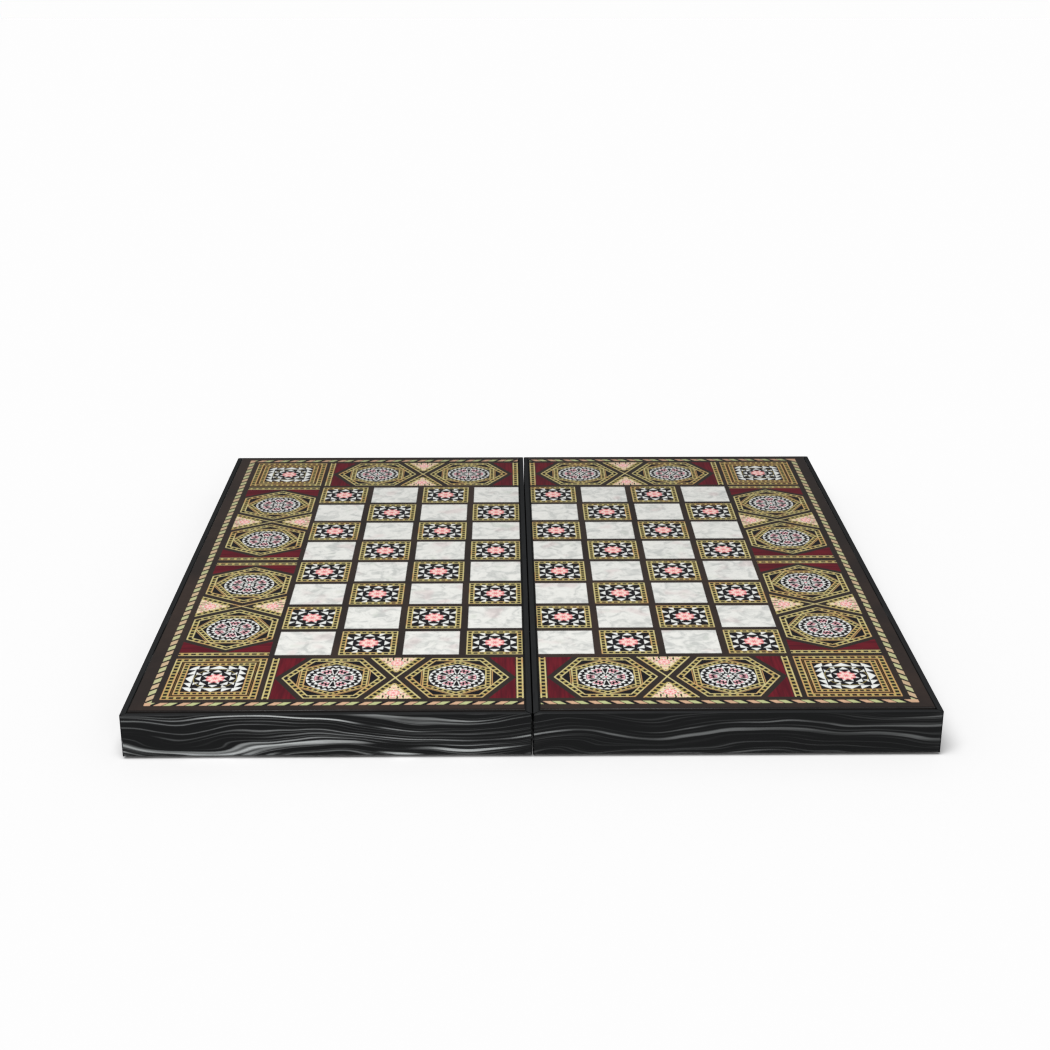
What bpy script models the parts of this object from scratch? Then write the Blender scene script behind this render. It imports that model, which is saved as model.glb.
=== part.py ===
"""A folding backgammon case, opened flat and lying on its rims.

Two shallow trays hang on two butt hinges along the seam between them. Each tray is a frame of four
mitred rails that carries two boards in a stepped rebate: a chess panel, which is the outside of the
case, and a playfield panel, the floor on which backgammon is played. Closing turns the left tray
half a turn about the hinge pins, down and under the right one, until the rims meet.

Metres, +Z up, +X to the right, +Y away from the front. The origin is on the floor under the centre.
"""

import math

import bmesh
import bpy
from mathutils import Matrix, Vector

# Driving dimensions
TRAY_WIDTH = 0.2495  # one tray, from the seam to its outer end
TRAY_DEPTH = 0.494  # front to back
RAIL_HEIGHT = 0.0281  # from the rim that the tray lies on to the lip round the chess panel
RAIL_THICKNESS = 0.010
LIP_WIDTH = 0.0032  # the part of a rail that stands beside the chess panel
LEDGE_WIDTH = 0.0036  # the step that the chess panel rests on
CHESS_PANEL_THICKNESS = 0.003
CHESS_PANEL_RISE = 0.0012  # how far a chess panel stands above the lip round it
PLAYFIELD_PANEL_THICKNESS = 0.003
SEAM_GAP = 0.001  # between the two trays

HINGE_LENGTH = 0.040
HINGE_INSET = 0.077  # from a tray's front or back to the nearer end of its hinge
LEAF_WIDTH = 0.0088  # from the pin's axis to a leaf's far edge
LEAF_THICKNESS = 0.0008
LEAF_ROOT = 0.0001  # how far outside the pin's bore a leaf's plate starts, inside its knuckles' wall
LEAF_END_STEP = 0.0002  # the plate stops this far short of the outer knuckles' ends
KNUCKLE_RADIUS = 0.0016
KNUCKLES = 5
PIN_RADIUS = 0.0007

SCREW_LENGTH = 0.010
SCREW_SHANK_RADIUS = 0.001
SCREW_TIP_LENGTH = 0.002
SCREWS_PER_LEAF = 2
SCREW_END_DISTANCE = 0.008  # from a leaf's end to the nearest screw

MAGNET_RADIUS = 0.003
MAGNET_THICKNESS = 0.003
MAGNET_INSET = 0.050  # from a tray's front or back to a magnet's centre

# Clearances
FIT = 0.0003  # between a piece and its seat, its hole or its neighbour
PANEL_REVEAL = 0.0009  # the dark groove round a chess panel
RIM_CLEARANCE = 0.0002  # from each rim to the plane through the pins, so that the closed rims stay apart
OVERCUT = 0.001  # how far a cutter runs past the face it opens

ROUND_SIDES = 24
BORE_SIDES = 16

# Worked out from the above
PIN_HEIGHT = KNUCKLE_RADIUS
RIM_HEIGHT = PIN_HEIGHT + RIM_CLEARANCE
LIP_HEIGHT = RIM_HEIGHT + RAIL_HEIGHT
TOP_HEIGHT = LIP_HEIGHT + CHESS_PANEL_RISE
SEAM_FACE = SEAM_GAP / 2
OUTER_FACE = SEAM_FACE + TRAY_WIDTH
TRAY_CENTRE = SEAM_FACE + TRAY_WIDTH / 2
CHESS_LEDGE_DEPTH = CHESS_PANEL_THICKNESS - CHESS_PANEL_RISE + FIT
PLAYFIELD_LEDGE_DEPTH = CHESS_LEDGE_DEPTH + PLAYFIELD_PANEL_THICKNESS + FIT
PLAYFIELD_REBATE = LIP_WIDTH + LEDGE_WIDTH
HINGE_CENTRE = TRAY_DEPTH / 2 - HINGE_INSET - HINGE_LENGTH / 2
KNUCKLE_LENGTH = (HINGE_LENGTH - (KNUCKLES - 1) * FIT) / KNUCKLES
SCREW_HEAD_RADIUS = SCREW_SHANK_RADIUS + LEAF_THICKNESS  # a 45 degree countersink through the leaf
SCREW_LINE = (KNUCKLE_RADIUS + LEAF_WIDTH) / 2
MAGNET_LINE = OUTER_FACE - RAIL_THICKNESS / 2
MAGNET_ROW = TRAY_DEPTH / 2 - MAGNET_INSET

SIDES = {"right": 1, "left": -1}
ENDS = {"front": -1, "rear": 1}

# Colours
FOIL_COLOUR = (0.012, 0.012, 0.013)
CHESS_COLOUR = (0.16, 0.11, 0.09)
PLAYFIELD_COLOUR = (0.20, 0.12, 0.08)
BRASS_COLOUR = (0.75, 0.55, 0.25)
STEEL_COLOUR = (0.62, 0.62, 0.64)


def clear_scene():
    for obj in list(bpy.data.objects):
        bpy.data.objects.remove(obj, do_unlink=True)


def collection(name):
    made = bpy.data.collections.new(name)
    bpy.context.scene.collection.children.link(made)
    return made


def principled(name, colour, roughness, metallic=0.0):
    made = bpy.data.materials.new(name)
    made.use_nodes = True
    shader = made.node_tree.nodes["Principled BSDF"]
    shader.inputs["Base Color"].default_value = (*colour, 1)
    shader.inputs["Roughness"].default_value = roughness
    shader.inputs["Metallic"].default_value = metallic
    return made


def object_from(bm, name, home, location=(0, 0, 0)):
    """A mesh object with its origin at location, in the collection home."""
    bmesh.ops.recalc_face_normals(bm, faces=bm.faces)
    mesh = bpy.data.meshes.new(name)
    bm.to_mesh(mesh)
    bm.free()
    obj = bpy.data.objects.new(name, mesh)
    obj.location = location
    home.objects.link(obj)
    return obj


def box(name, home, low, high):
    """A box between two opposite corners, with its origin at its centre."""
    low, high = Vector(low), Vector(high)
    size = [abs(value) for value in high - low]
    bm = bmesh.new()
    bmesh.ops.create_cube(bm, size=1, matrix=Matrix.Diagonal((*size, 1)))
    return object_from(bm, name, home, (low + high) / 2)


def cylinder(name, home, radius, length, centre, along="Y", sides=ROUND_SIDES, far_radius=None):
    """A cylinder, or a cone from radius to far_radius, along +Y or +Z, centred at centre."""
    turn = Matrix.Rotation(-math.pi / 2, 4, "X") if along == "Y" else Matrix.Identity(4)
    bm = bmesh.new()
    bmesh.ops.create_cone(
        bm,
        cap_ends=True,
        segments=sides,
        radius1=radius,
        radius2=radius if far_radius is None else far_radius,
        depth=length,
        matrix=turn,
    )
    return object_from(bm, name, home, centre)


def combine(target, other, operation="DIFFERENCE"):
    """Cuts other from target, or joins it to target, with a live Boolean."""
    other.hide_render = True
    other.display_type = "WIRE"
    modifier = target.modifiers.new(other.name, "BOOLEAN")
    modifier.operation = operation
    modifier.object = other


def finish(obj, material, parent, smooth=False):
    obj.data.materials.clear()
    obj.data.materials.append(material)
    obj.parent = parent
    obj.location -= parent.location
    if smooth:
        obj.data.shade_smooth()
        obj.data.set_sharp_from_angle(angle=math.radians(30))


def rail_outline():
    """A rail's stepped cross-section as (depth from the outer face, height over the rim)."""
    chess_ledge = RAIL_HEIGHT - CHESS_LEDGE_DEPTH
    playfield_ledge = RAIL_HEIGHT - PLAYFIELD_LEDGE_DEPTH
    return (
        (0, 0),
        (RAIL_THICKNESS, 0),
        (RAIL_THICKNESS, playfield_ledge),
        (PLAYFIELD_REBATE, playfield_ledge),
        (PLAYFIELD_REBATE, chess_ledge),
        (LIP_WIDTH, chess_ledge),
        (LIP_WIDTH, RAIL_HEIGHT),
        (0, RAIL_HEIGHT),
    )


def extruded(outline, length):
    """A closed mesh: the outline in X and Y, extruded along Z, half the length each way."""
    curve = bpy.data.curves.new("outline", "CURVE")
    curve.dimensions = "2D"
    curve.fill_mode = "BOTH"
    curve.extrude = length / 2
    spline = curve.splines.new("POLY")
    spline.points.add(len(outline) - 1)
    for point, (x, y) in zip(spline.points, outline):
        point.co = (x, y, 0, 1)
    spline.use_cyclic_u = True
    guide = bpy.data.objects.new("outline", curve)
    bpy.context.scene.collection.objects.link(guide)
    graph = bpy.context.evaluated_depsgraph_get()
    mesh = bpy.data.meshes.new_from_object(guide.evaluated_get(graph))
    bm = bmesh.new()
    bm.from_mesh(mesh)
    bmesh.ops.remove_doubles(bm, verts=bm.verts, dist=1e-6)
    bpy.data.objects.remove(guide)
    bpy.data.curves.remove(curve)
    bpy.data.meshes.remove(mesh)
    return bm


def rail(name, home, length, outer_point, inwards, along):
    """A mitred rail. outer_point is the middle of its outer face's lower edge, inwards points from there
    into the tray, and along is its length's direction. Each end is drawn in by its depth from the outer
    face, for a 45 degree mitre, and by half the gap between two rails."""
    bm = extruded(rail_outline(), length)
    inwards, along = Vector(inwards), Vector(along)
    for vert in bm.verts:
        depth, height, run = vert.co
        half = length / 2 - depth - FIT / math.sqrt(2)
        vert.co = inwards * depth + along * math.copysign(half, run) + Vector((0, 0, height))
    return object_from(bm, name, home, outer_point)


def add_rails(side, sign, parts, parent, material):
    """The four rails of one tray, by name."""
    centre = sign * TRAY_CENTRE
    rails = {
        "end_rail": rail(
            f"{side}_end_rail",
            parts,
            TRAY_DEPTH,
            (sign * OUTER_FACE, 0, RIM_HEIGHT),
            (-sign, 0, 0),
            (0, 1, 0),
        ),
        "hinge_rail": rail(
            f"{side}_hinge_rail",
            parts,
            TRAY_DEPTH,
            (sign * SEAM_FACE, 0, RIM_HEIGHT),
            (sign, 0, 0),
            (0, 1, 0),
        ),
    }
    for end, y_sign in ENDS.items():
        rails[f"{end}_rail"] = rail(
            f"{side}_{end}_rail",
            parts,
            TRAY_WIDTH,
            (centre, y_sign * TRAY_DEPTH / 2, RIM_HEIGHT),
            (0, -y_sign, 0),
            (1, 0, 0),
        )
    for made in rails.values():
        finish(made, material, parent)
    return rails


def add_panel(name, sign, parts, parent, material, edge, top, thickness):
    """A board whose sides lie edge inside the tray's outer faces."""
    obj = box(
        name,
        parts,
        (sign * (SEAM_FACE + edge), edge - TRAY_DEPTH / 2, top - thickness),
        (sign * (OUTER_FACE - edge), TRAY_DEPTH / 2 - edge, top),
    )
    finish(obj, material, parent)


def add_magnets(side, sign, parts, cutters, parent, end_rail, material):
    """Two disc magnets, flush with the rim, each in a pocket of the end rail."""
    for end, y_sign in ENDS.items():
        x, y = sign * MAGNET_LINE, y_sign * MAGNET_ROW
        name = f"{side}_{end}_magnet"
        centre = (x, y, RIM_HEIGHT + MAGNET_THICKNESS / 2)
        magnet = cylinder(name, parts, MAGNET_RADIUS, MAGNET_THICKNESS, centre, "Z")
        finish(magnet, material, parent, smooth=True)
        depth = MAGNET_THICKNESS + FIT + OVERCUT
        centre = (x, y, RIM_HEIGHT - OVERCUT + depth / 2)
        pocket = cylinder(f"{name}_pocket", cutters, MAGNET_RADIUS + FIT, depth, centre, "Z")
        combine(end_rail, pocket)


def knuckle_centres(side, hinge_y):
    """Where the knuckles of one leaf stand along the pin: the right leaf has the first, third and last."""
    pitch = KNUCKLE_LENGTH + FIT
    first = 0 if side == "right" else 1
    start = hinge_y - HINGE_LENGTH / 2 + KNUCKLE_LENGTH / 2
    return [start + index * pitch for index in range(first, KNUCKLES, 2)]


def screw_rows(hinge_y):
    """Where a leaf's screws stand along the pin."""
    reach = HINGE_LENGTH / 2 - SCREW_END_DISTANCE
    step = 2 * reach / (SCREWS_PER_LEAF - 1)
    return [hinge_y - reach + index * step for index in range(SCREWS_PER_LEAF)]


def add_leaf(side, sign, end, hinge_y, parts, cutters, parent, material):
    """A plate flush with the rim, joined to its knuckles, with gaps for the other leaf's knuckles."""
    name = f"{end}_hinge_{side}_leaf"
    half = HINGE_LENGTH / 2 - LEAF_END_STEP
    leaf = box(
        name,
        parts,
        (sign * (PIN_RADIUS + FIT + LEAF_ROOT), hinge_y - half, RIM_HEIGHT),
        (sign * LEAF_WIDTH, hinge_y + half, RIM_HEIGHT + LEAF_THICKNESS),
    )
    for index, y in enumerate(knuckle_centres(side, hinge_y)):
        centre = (0, y, PIN_HEIGHT)
        knuckle = cylinder(f"{name}_knuckle_{index}", cutters, KNUCKLE_RADIUS, KNUCKLE_LENGTH, centre)
        combine(leaf, knuckle, "UNION")
    other = "left" if side == "right" else "right"
    for index, y in enumerate(knuckle_centres(other, hinge_y)):
        centre = (0, y, PIN_HEIGHT)
        length = KNUCKLE_LENGTH + 2 * FIT
        notch = cylinder(f"{name}_notch_{index}", cutters, KNUCKLE_RADIUS + FIT, length, centre)
        combine(leaf, notch)
    bore = cylinder(
        f"{name}_bore",
        cutters,
        PIN_RADIUS + FIT,
        HINGE_LENGTH + 2 * OVERCUT,
        (0, hinge_y, PIN_HEIGHT),
        sides=BORE_SIDES,
    )
    combine(leaf, bore)
    for index, y in enumerate(screw_rows(hinge_y)):
        height = LEAF_THICKNESS + 2 * OVERCUT
        countersink = cylinder(
            f"{name}_countersink_{index}",
            cutters,
            SCREW_HEAD_RADIUS + FIT + OVERCUT,
            height,
            (sign * SCREW_LINE, y, RIM_HEIGHT - OVERCUT + height / 2),
            "Z",
            BORE_SIDES,
            SCREW_SHANK_RADIUS + FIT - OVERCUT,
        )
        combine(leaf, countersink)
    finish(leaf, material, parent)


def cut_hinge_seat(name, sign, hinge_y, cutters, hinge_rail):
    """The rail's mortise for the leaf, its groove for the knuckles and its pilot holes."""
    half = HINGE_LENGTH / 2 + FIT
    mortise = box(
        f"{name}_mortise",
        cutters,
        (-sign * OVERCUT, hinge_y - half, RIM_HEIGHT - OVERCUT),
        (sign * (LEAF_WIDTH + FIT), hinge_y + half, RIM_HEIGHT + LEAF_THICKNESS + FIT),
    )
    combine(hinge_rail, mortise)
    centre = (0, hinge_y, PIN_HEIGHT)
    groove = cylinder(f"{name}_groove", cutters, KNUCKLE_RADIUS + FIT, 2 * half, centre)
    combine(hinge_rail, groove)
    for index, y in enumerate(screw_rows(hinge_y)):
        depth = SCREW_LENGTH + FIT + OVERCUT
        pilot = cylinder(
            f"{name}_pilot_{index}",
            cutters,
            SCREW_SHANK_RADIUS + FIT,
            depth,
            (sign * SCREW_LINE, y, RIM_HEIGHT - OVERCUT + depth / 2),
            "Z",
            BORE_SIDES,
        )
        combine(hinge_rail, pilot)


def add_screw(name, x, y, parts, parent, material):
    """A countersunk screw, head down and flush with the leaf: a profile turned round its own axis."""
    profile = (
        (0, SCREW_LENGTH),
        (SCREW_SHANK_RADIUS, SCREW_LENGTH - SCREW_TIP_LENGTH),
        (SCREW_SHANK_RADIUS, SCREW_HEAD_RADIUS - SCREW_SHANK_RADIUS),
        (SCREW_HEAD_RADIUS, 0),
        (0, 0),
    )
    mesh = bpy.data.meshes.new(name)
    edges = [(index, index + 1) for index in range(len(profile) - 1)]
    mesh.from_pydata([(radius, 0, height) for radius, height in profile], edges, [])
    obj = bpy.data.objects.new(name, mesh)
    obj.location = (x, y, RIM_HEIGHT)
    parts.objects.link(obj)
    turned = obj.modifiers.new("turned", "SCREW")
    turned.steps = turned.render_steps = BORE_SIDES
    turned.use_merge_vertices = True
    turned.merge_threshold = 1e-6
    finish(obj, material, parent)


def add_hinge(end, y_sign, parts, cutters, parents, rails, brass, steel):
    """A butt hinge: a leaf let into each tray's hinge rail, their screws, and the pin."""
    hinge_y = y_sign * HINGE_CENTRE
    for side, sign in SIDES.items():
        add_leaf(side, sign, end, hinge_y, parts, cutters, parents[side], brass)
        name = f"{end}_hinge_{side}"
        cut_hinge_seat(name, sign, hinge_y, cutters, rails[side]["hinge_rail"])
        for index, y in enumerate(screw_rows(hinge_y), start=1):
            add_screw(f"{name}_screw_{index}", sign * SCREW_LINE, y, parts, parents[side], brass)
    centre = (0, hinge_y, PIN_HEIGHT)
    pin = cylinder(f"{end}_hinge_pin", parts, PIN_RADIUS, HINGE_LENGTH, centre, sides=BORE_SIDES)
    finish(pin, steel, parents["right"], smooth=True)


def main():
    clear_scene()
    parts = collection("backgammon_case")
    cutters = collection("cutters")
    foil = principled("foil_wood", FOIL_COLOUR, 0.45)
    chess = principled("chess_print", CHESS_COLOUR, 0.15)
    playfield = principled("playfield_print", PLAYFIELD_COLOUR, 0.2)
    brass = principled("brass", BRASS_COLOUR, 0.3, 1.0)
    steel = principled("steel", STEEL_COLOUR, 0.25, 1.0)

    parents, rails = {}, {}
    for side, sign in SIDES.items():
        empty = bpy.data.objects.new(f"{side}_tray", None)
        empty.location = (0, 0, PIN_HEIGHT)  # on the hinge axis
        parts.objects.link(empty)
        parents[side] = empty
        rails[side] = add_rails(side, sign, parts, empty, foil)
        edge = LIP_WIDTH + PANEL_REVEAL
        name = f"{side}_chess_panel"
        add_panel(name, sign, parts, empty, chess, edge, TOP_HEIGHT, CHESS_PANEL_THICKNESS)
        edge = PLAYFIELD_REBATE + FIT
        top = LIP_HEIGHT - CHESS_LEDGE_DEPTH
        name = f"{side}_playfield_panel"
        add_panel(name, sign, parts, empty, playfield, edge, top, PLAYFIELD_PANEL_THICKNESS)
        add_magnets(side, sign, parts, cutters, empty, rails[side]["end_rail"], steel)
    for end, y_sign in ENDS.items():
        add_hinge(end, y_sign, parts, cutters, parents, rails, brass, steel)


main()
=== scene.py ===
"""The looks of a folding backgammon case that lies open on its rims, chess field up.

Laid out as an add-on: a property group for each kind of finish, an operator for each group of pieces,
and a panel that lists them. Run as a script, it builds everything in order round the fixed frame.
"""

import math

import bmesh
import bpy
import numpy as np
from mathutils import Matrix, Vector


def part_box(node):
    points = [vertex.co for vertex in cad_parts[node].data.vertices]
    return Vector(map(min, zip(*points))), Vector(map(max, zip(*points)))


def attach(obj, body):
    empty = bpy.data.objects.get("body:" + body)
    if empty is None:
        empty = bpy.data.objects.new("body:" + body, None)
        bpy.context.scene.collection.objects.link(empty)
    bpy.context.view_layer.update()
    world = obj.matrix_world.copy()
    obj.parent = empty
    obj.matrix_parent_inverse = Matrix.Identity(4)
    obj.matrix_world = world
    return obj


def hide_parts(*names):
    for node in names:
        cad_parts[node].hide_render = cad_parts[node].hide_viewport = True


bl_info = {
    "name": "Inlaid backgammon case",
    "version": (1, 0, 0),
    "blender": (4, 5, 0),
    "location": "3D View > Sidebar > Case",
    "description": "Builds the surfaces and finishes of a folding backgammon case",
    "category": "Object",
}

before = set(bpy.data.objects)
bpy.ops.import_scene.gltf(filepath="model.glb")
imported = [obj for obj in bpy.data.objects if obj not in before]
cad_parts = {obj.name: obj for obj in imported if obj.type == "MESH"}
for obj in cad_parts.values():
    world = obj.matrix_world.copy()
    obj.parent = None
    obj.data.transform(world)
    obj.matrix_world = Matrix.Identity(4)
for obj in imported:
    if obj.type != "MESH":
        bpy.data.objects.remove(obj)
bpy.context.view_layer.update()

MM = 0.001
SIDES = {"right": 1, "left": -1}
RAILS = ("front_rail", "rear_rail", "end_rail", "hinge_rail")
MOTIF = "motif"  # the corner attribute that holds a motif's own coordinates, in millimetres
ROUND_SIDES = 48
FOLDS = 3  # the strips in which the baking map lays out a printed sheet
CHESS_SHEETS = 4  # printed sheets on a chess panel
PLAYFIELD_SHEETS = 2  # printed sheets on a playfield panel
SAME_POINT = 1e-6  # the CAD meshes' loose corners nearer than this are one, in metres
SAME_LEVEL = 1e-5  # how near a corner lies to a face that it belongs to, in metres
SHARP = math.radians(40)  # the least turn at an edge that is rounded or drawn sharp
WIDEST = 3.5  # how many times wider the rounding under a rail is than elsewhere
ROSY = 0.2  # the share of the rope's repeat at which its rosy pieces lie
HEX_PLACE = 38.85  # from a long panel's middle to each hexagon's, in millimetres
HEX_REACH = 28.6  # from a hexagon's middle to its sides, in millimetres


def srgb(red, green, blue):
    """A display colour of 0 to 255 as the linear colour that shaders use."""
    value = np.array([red, green, blue]) / 255
    linear = np.where(value <= 0.04045, value / 12.92, ((value + 0.055) / 1.055) ** 2.4)
    return tuple(float(part) for part in linear)


# ---------------------------------------------------------------- settings


def size_property(name, description, default):
    return bpy.props.FloatProperty(name=name, description=description, default=default, min=0, unit="LENGTH")


def colour_property(name, description, default):
    return bpy.props.FloatVectorProperty(
        name=name, description=description, default=default, subtype="COLOR", size=3, min=0, max=1
    )


class PrintSettings(bpy.types.PropertyGroup):
    """The printed inlay pattern of the boards."""

    cell: size_property("Cell", "Side of a chess cell", 37.2 * MM)
    pitch: size_property("Pitch", "From one chess cell to the next", 41.67 * MM)
    band: size_property("Band", "Width of the panels and corner squares round the chess field", 59.0 * MM)
    rope: size_property("Rope", "Width of the rope border", 4.0 * MM)
    ground: colour_property("Ground", "The dark veneer between the motifs", srgb(50, 43, 40))
    black: colour_property("Black", "The ebony pieces", srgb(26, 24, 28))
    cream: colour_property("Cream", "The light straw lines", srgb(212, 200, 142))
    tan: colour_property("Tan", "The browner straw lines", srgb(206, 164, 108))
    olive: colour_property("Olive", "The straw between the dots", srgb(184, 168, 102))
    white: colour_property("White", "The bone pieces", srgb(240, 242, 238))
    pink: colour_property("Pink", "The stars", srgb(240, 136, 140))
    blush: colour_property("Blush", "The core of the stars", srgb(255, 222, 212))
    burgundy: colour_property("Burgundy", "The stained veneer beside the medallions", srgb(112, 26, 38))
    pearl: colour_property("Pearl", "The light chess cells", srgb(242, 242, 237))


class FrameSettings(bpy.types.PropertyGroup):
    """The foil-wrapped rails."""

    edge: size_property("Edge", "Rounding of the rails' edges", 0.45 * MM)
    foil: colour_property("Foil", "The near-black ground of the foil", srgb(12, 13, 14))
    # Painted light: a lighter grey for the rails' upward faces, standing in for the overhead light that falls
    # on them.
    lit_lip: colour_property("Lip", "The plain lip round the boards", srgb(40, 41, 42))
    streak: colour_property("Streak", "The pale grain of the foil", srgb(184, 187, 187))


class HardwareSettings(bpy.types.PropertyGroup):
    """The hinges, screws and magnets."""

    brass: colour_property("Brass", "Hinge leaves and screws", (0.72, 0.50, 0.22))
    steel: colour_property("Steel", "Hinge pins", (0.55, 0.55, 0.57))
    nickel: colour_property("Nickel", "Closure magnets", (0.66, 0.65, 0.62))
    slot: size_property("Slot", "Width of a screw's slot", 0.6 * MM)


class StageSettings(bpy.types.PropertyGroup):
    """The floor, the lights and the camera."""

    floor: colour_property("Floor", "The floor and the backdrop", (0.98, 0.98, 0.98))
    lens: bpy.props.FloatProperty(name="Lens", description="Focal length", default=58.0, unit="CAMERA")
    key: bpy.props.FloatProperty(
        name="Key", description="Power of the overhead light", default=33.0, unit="POWER"
    )


# ---------------------------------------------------------------- shader maths


class Term:
    """A number in a node tree. Arithmetic on it adds Math nodes."""

    def __init__(self, paint, socket):
        self.paint, self.socket = paint, socket

    def math(self, operation, *others):
        return self.paint.math(operation, self, *others)

    def __add__(self, other):
        return self.math("ADD", other)

    def __sub__(self, other):
        return self.math("SUBTRACT", other)

    def __rsub__(self, other):
        return self.paint.math("SUBTRACT", other, self)

    def __mul__(self, other):
        return self.math("MULTIPLY", other)

    def __truediv__(self, other):
        return self.math("DIVIDE", other)

    def __abs__(self):
        return self.math("ABSOLUTE")

    def __lt__(self, other):
        return self.math("LESS_THAN", other)

    def __gt__(self, other):
        return self.math("GREATER_THAN", other)

    __radd__ = __add__
    __rmul__ = __mul__


class Paint:
    """A new material with a Principled shader, and the few ways used here to fill its node tree."""

    def __init__(self, name, roughness, **fixed):
        self.material = bpy.data.materials.new(name)
        self.material.use_nodes = True
        self.tree = self.material.node_tree
        self.shader = self.tree.nodes["Principled BSDF"]
        self.shader.inputs["Roughness"].default_value = roughness
        for socket, value in fixed.items():
            self.shader.inputs[socket.replace("_", " ")].default_value = value

    def node(self, kind, settings=None, inputs=None):
        """Adds a node: its settings first, then its sockets' values or links, by name or by number."""
        made = self.tree.nodes.new(kind)
        for key, value in (settings or {}).items():
            if key == "stops":
                while len(made.color_ramp.elements) < len(value):
                    made.color_ramp.elements.new(0.5)
                for element, (place, colour) in zip(made.color_ramp.elements, value):
                    element.position, element.color = place, (*colour, 1)
            else:
                setattr(made, key, value)
        for key, value in (inputs or {}).items():
            self.feed(made.inputs[key], value)
        return made

    def feed(self, socket, value):
        if isinstance(value, Term):
            self.tree.links.new(value.socket, socket)
        elif isinstance(value, bpy.types.NodeSocket):
            self.tree.links.new(value, socket)
        elif socket.type == "RGBA":
            socket.default_value = (*value, 1)
        else:
            socket.default_value = value

    def math(self, operation, *values):
        made = self.node("ShaderNodeMath", {"operation": operation}, dict(enumerate(values)))
        return Term(self, made.outputs[0])

    def mix(self, share, base, top):
        """base where share is 0, top where it is 1."""
        made = self.node("ShaderNodeMix", {"data_type": "RGBA"}, {0: share, 6: base, 7: top})
        return made.outputs[2]

    def split(self, vector):
        made = self.node("ShaderNodeSeparateXYZ", inputs={0: vector})
        return [Term(self, socket) for socket in made.outputs]

    def join(self, *parts):
        return self.node("ShaderNodeCombineXYZ", inputs=dict(enumerate(parts))).outputs[0]

    def motif(self):
        """The motif's own coordinates in millimetres, and its number."""
        return self.split(self.node("ShaderNodeAttribute", {"attribute_name": MOTIF}).outputs["Vector"])

    def place(self):
        """The place on the object, in metres."""
        return self.node("ShaderNodeTexCoord").outputs["Object"]

    def noise(self, vector, scale, detail=2.0, rough=0.5, distortion=0.0):
        made = self.node(
            "ShaderNodeTexNoise",
            inputs={"Vector": vector, "Scale": scale, "Detail": detail, "Roughness": rough},
        )
        made.inputs["Distortion"].default_value = distortion
        return Term(self, made.outputs["Fac"])

    def ramp(self, value, low, high):
        """0 at low and below, 1 at high and above, smooth between."""
        made = self.node(
            "ShaderNodeMapRange", {"interpolation_type": "SMOOTHSTEP"}, {"Value": value, 1: low, 2: high}
        )
        return Term(self, made.outputs[0])

    def colour(self, value):
        self.feed(self.shader.inputs["Base Color"], value)

    def bump(self, height, distance, strength=1.0):
        made = self.node(
            "ShaderNodeBump", inputs={"Height": height, "Distance": distance, "Strength": strength}
        )
        self.feed(self.shader.inputs["Normal"], made.outputs[0])

    # shapes, each a mask of 0 or 1

    def every(self, *masks):
        found = masks[0]
        for mask in masks[1:]:
            found = found * mask
        return found

    def either(self, *masks):
        found = masks[0]
        for mask in masks[1:]:
            found = found.math("MAXIMUM", mask)
        return found

    def between(self, value, low, high):
        return self.math("COMPARE", value, (low + high) / 2, (high - low) / 2)

    def repeated(self, run, pitch):
        """The distance along run to the nearest whole number of pitches."""
        return run.math("PINGPONG", pitch / 2)

    def wedge(self, x, y, sectors, turn=0.0):
        """The plane folded like paper into half of one of its equal sectors: the distance along the
        sector's axis and the distance across it, never negative."""
        angle = self.math("ARCTAN2", y, x) + turn
        folded = angle.math("PINGPONG", math.pi / sectors)
        radius = (x * x + y * y).math("SQRT")
        return radius * folded.math("COSINE"), radius * folded.math("SINE")

    def left_of(self, x, y, start, end):
        """Above 0 to the left of the line from start to end."""
        run, rise = end[0] - start[0], end[1] - start[1]
        return y * run - x * rise + (start[0] * rise - start[1] * run)

    def within(self, x, y, *corners):
        """Inside a convex outline."""
        pairs = list(zip(corners, corners[1:] + corners[:1]))
        if sum(a[0] * b[1] - a[1] * b[0] for a, b in pairs) < 0:
            pairs = [(b, a) for a, b in pairs]
        found = None
        for start, end in pairs:
            edge = self.left_of(x, y, start, end)
            found = edge if found is None else found.math("MINIMUM", edge)
        return found > 0

    def star(self, along, across, points, tip, notch):
        """A star with its points on the sectors' axes, in coordinates from wedge."""
        half = math.pi / points
        inner = (notch * math.cos(half), notch * math.sin(half))
        return self.left_of(along, across, (tip, 0), inner) > 0


# ---------------------------------------------------------------- finishes


def straw(paint, settings, warmth=0.5):
    """Straw veneer: cream that turns tan from place to place, more of it where warmth is higher."""
    wander = paint.noise(paint.place(), 55.0, 2.0)
    tint = paint.ramp(wander, 0.62 - 0.3 * warmth, 0.82 - 0.3 * warmth)
    return paint.mix(tint, settings.cream[:], settings.tan[:])


def dotted(paint, base, light, run, across, low, high, pitch, settings):
    """A straw band between low and high: two pale lines, and between them a darker lane with an oblong
    dark dot at every pitch along run."""
    line = 0.2 * (high - low)
    colour = paint.mix(paint.between(across, low, high), base, light)
    lane = paint.between(across, low + line, high - line)
    colour = paint.mix(lane, colour, settings.olive[:])
    edge = 1.15 * line
    marks = paint.every(
        paint.repeated(run, pitch) < 0.32 * pitch, paint.between(across, low + edge, high - edge)
    )
    return paint.mix(marks, colour, settings.black[:])


def lacquer(name):
    """The start of every printed finish: glossy, with the faintest ripple in the lacquer."""
    paint = Paint(name, 0.16, Specular_IOR_Level=0.35)
    paint.bump(paint.noise(paint.place(), 160.0, 1.0), 0.00004, 0.25)
    return paint


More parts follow.
